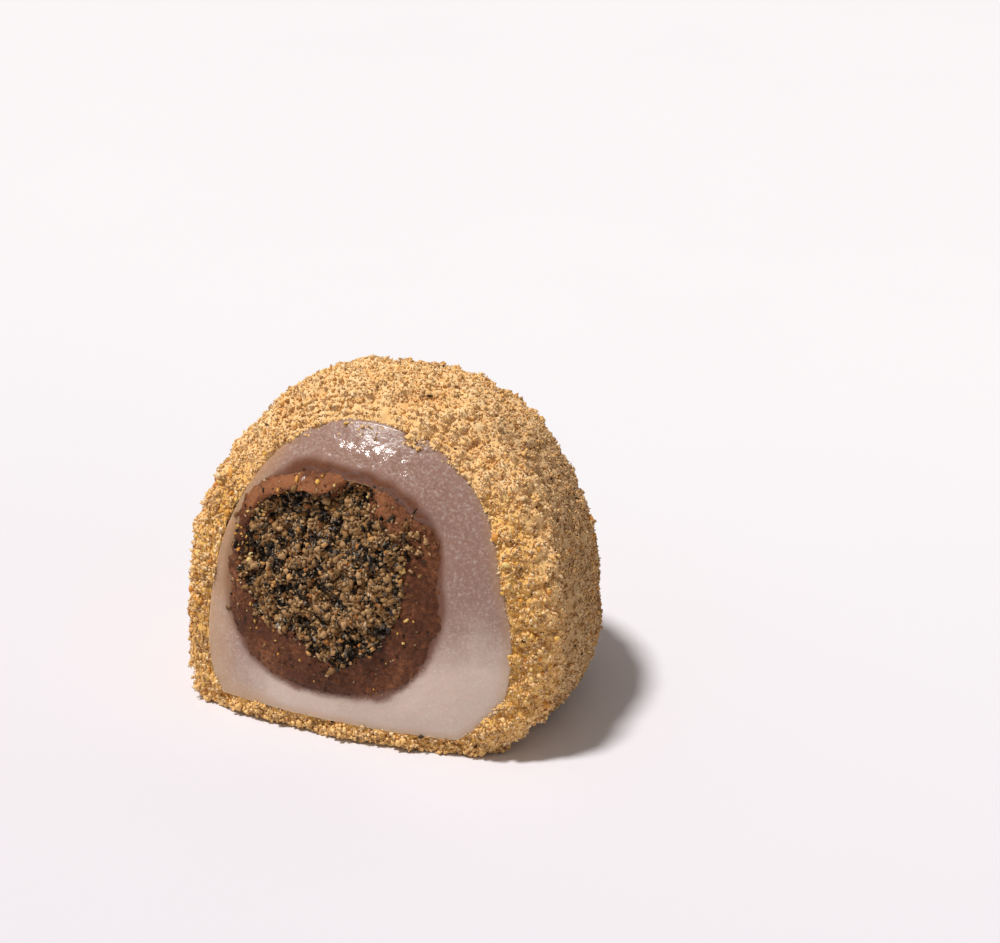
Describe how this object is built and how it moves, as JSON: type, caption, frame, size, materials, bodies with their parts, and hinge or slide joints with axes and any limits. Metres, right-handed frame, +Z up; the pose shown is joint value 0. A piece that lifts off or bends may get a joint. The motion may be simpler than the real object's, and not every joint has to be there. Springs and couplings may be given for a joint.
{
  "type": "mochi rice cake",
  "caption": "Stuffed rice cake ball with one side cut off: peanut crumb coat, translucent dough, bean paste and a crumbly sesame filling, resting on a flat base.",
  "frame": {"origin": "on the table, under the middle of the whole object's box", "axes": "+Z up, -Y the side that was cut off, +X to the right as seen from the cut"},
  "size_m": [0.0442, 0.0354, 0.0376],
  "materials": {
    "peanut_coat": "dry golden tan crumb of ground roasted peanut, with a few dark sesame specks",
    "rice_skin": "moist translucent off-white dough, mauve grey where it is thin over the paste",
    "bean_paste": "moist reddish brown paste with fine glints and dark specks",
    "sesame_filling": "loose crumbs of tan peanut and black sesame"
  },
  "bodies": {
    "root": {"peanut_coat": "peanut_coat", "rice_skin": "rice_skin", "bean_paste": "bean_paste", "sesame_filling": "sesame_filling"}
  },
  "joints": []
}
